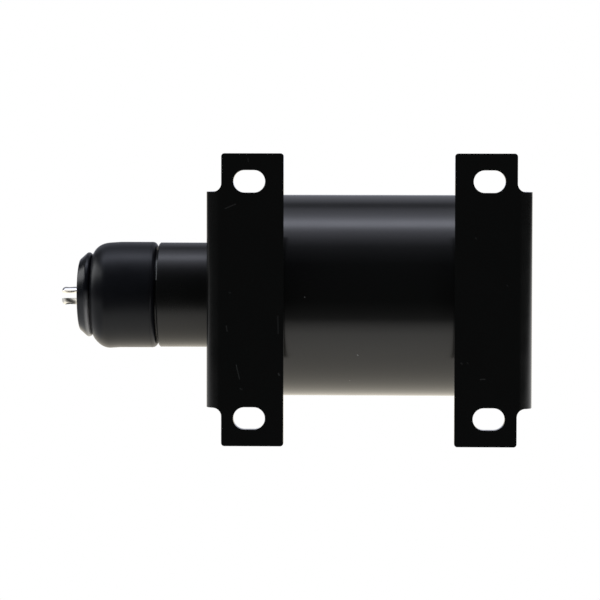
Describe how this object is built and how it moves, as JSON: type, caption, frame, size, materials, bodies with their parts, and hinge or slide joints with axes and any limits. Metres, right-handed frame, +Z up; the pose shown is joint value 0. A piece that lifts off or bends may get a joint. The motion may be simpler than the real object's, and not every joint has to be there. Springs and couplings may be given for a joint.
{
  "type": "engine speed solenoid",
  "caption": "Tubular pull solenoid on two slotted L-shaped feet, with a round nose, a rubber boot, a spring-returned forked plunger rod and stud terminals.",
  "frame": {"origin": "in the plane on which the feet stand, at the centre of the four mounting slots", "axes": "+Z up from the feet, +X along the plunger towards the rear, which is the way the plunger is pulled in, +Y across the housing"},
  "size_m": [0.1214, 0.0734, 0.0737],
  "materials": {
    "black_paint": "semi-gloss black enamel on steel",
    "plated_steel": "turned low-carbon steel, zinc plated",
    "bright_plating": "bright nickel plating",
    "bumper_rubber": "moulded rubber",
    "boot_rubber": "moulded black rubber, satin",
    "brass_tube": "drawn brass",
    "terminal_brass": "turned brass",
    "copper_wire": "enamelled copper",
    "coil_tape": "polyester tape",
    "nylon": "moulded nylon",
    "black_phenolic": "moulded black phenolic",
    "spring_steel": "plated spring steel"
  },
  "bodies": {
    "housing": {"housing_tube": "black_paint", "front_bracket": "black_paint", "rear_bracket": "black_paint", "front_end_plate": "plated_steel", "rear_end_plate": "plated_steel", "nose_tube": "black_paint", "nose_bumper": "bumper_rubber", "guide_tube": "brass_tube", "bobbin": "nylon", "coil_winding": "copper_wire", "coil_wrap": "coil_tape", "pole_core": "plated_steel", "pole_shim": "brass_tube", "return_spring": "spring_steel", "boot": "boot_rubber", "terminal_block": "black_phenolic", "terminal_stud_1": "terminal_brass", "terminal_stud_2": "terminal_brass", "terminal_nuts": "terminal_brass", "terminal_washers": "spring_steel", "coil_lead_1": "copper_wire", "coil_lead_2": "copper_wire"},
    "plunger": {"plunger": "plated_steel", "plunger_rod": "bright_plating"}
  },
  "joints": [
    {"name": "plunger_slide", "type": "slide", "parent": "housing", "child": "plunger", "axis": [1, 0, 0], "range_m": [0, 0.008], "stiffness_N_per_m": 2500, "springref_m": -0.012, "deforming": ["return_spring", "boot"]}
  ]
}
